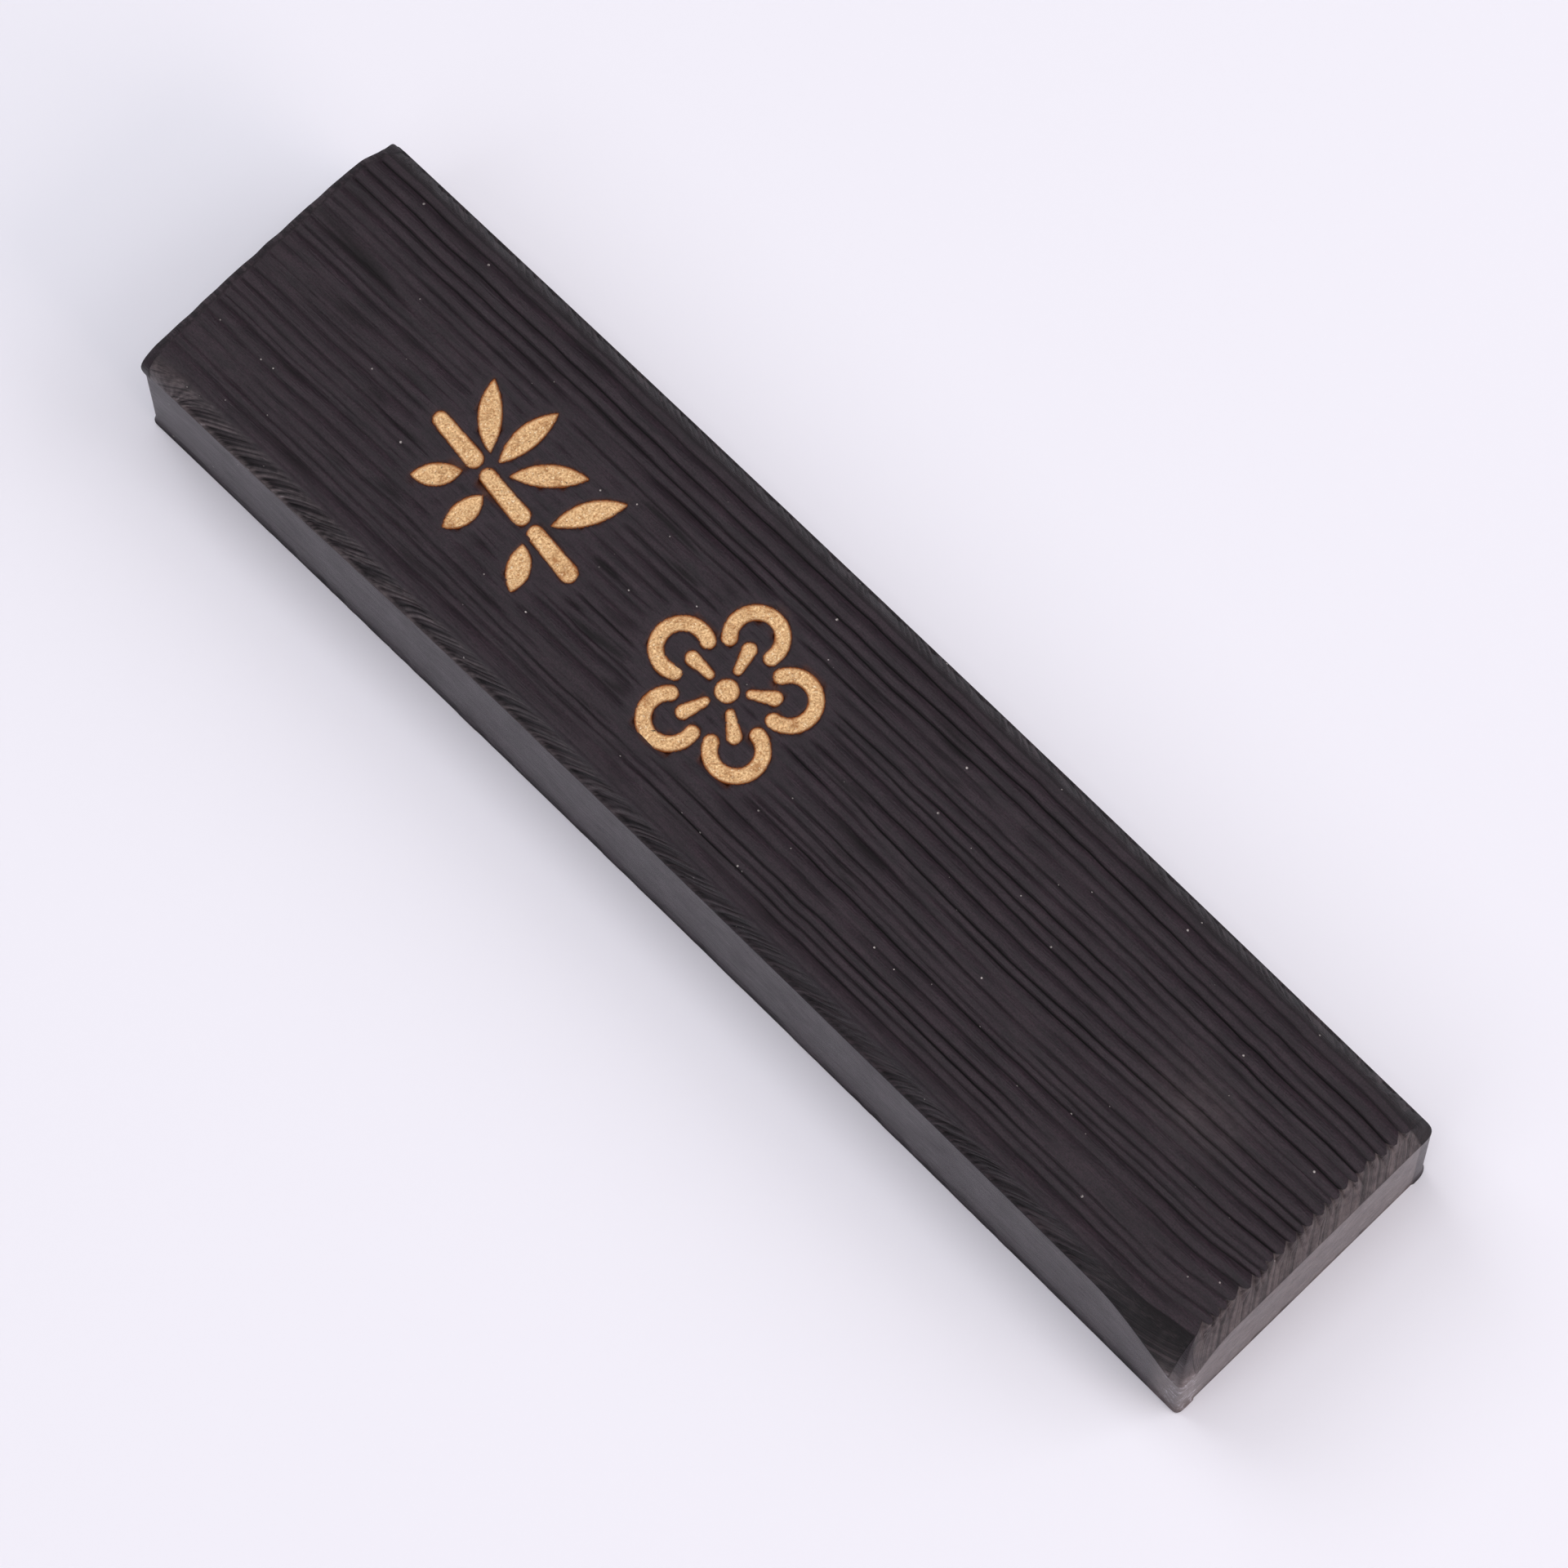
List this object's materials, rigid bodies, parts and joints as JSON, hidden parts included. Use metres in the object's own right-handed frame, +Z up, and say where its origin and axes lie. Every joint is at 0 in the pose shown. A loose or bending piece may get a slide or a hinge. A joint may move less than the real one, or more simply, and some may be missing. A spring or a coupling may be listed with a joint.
{
  "type": "ink stick",
  "caption": "Rectangular pressed ink stick with a wood-grained top, bevelled edges and recessed gold-painted bamboo and plum motifs.",
  "frame": {"origin": "middle of the flat base, on the surface the stick lies on", "axes": "+Z up through the grained top, +Y along the stick towards the end the motifs' tops point to, +X across the stick"},
  "size_m": [0.0184, 0.0752, 0.0088],
  "materials": {
    "ink": "dry satin, pressed against a wooden mould",
    "gold_paint": "granular bronze-powder paint, brushed by hand"
  },
  "bodies": {
    "root": {"ink_cake": "ink", "flower_eye": "gold_paint", "leaf_bottom_right": "gold_paint", "leaf_lower_left": "gold_paint", "leaf_lower_right": "gold_paint", "leaf_middle_left": "gold_paint", "leaf_middle_right": "gold_paint", "leaf_upper_left": "gold_paint", "leaf_upper_right": "gold_paint", "petal_1": "gold_paint", "petal_2": "gold_paint", "petal_3": "gold_paint", "petal_4": "gold_paint", "petal_5": "gold_paint", "stalk_1": "gold_paint", "stalk_2": "gold_paint", "stalk_3": "gold_paint", "stamen_1": "gold_paint", "stamen_2": "gold_paint", "stamen_3": "gold_paint", "stamen_4": "gold_paint", "stamen_5": "gold_paint"}
  },
  "joints": []
}
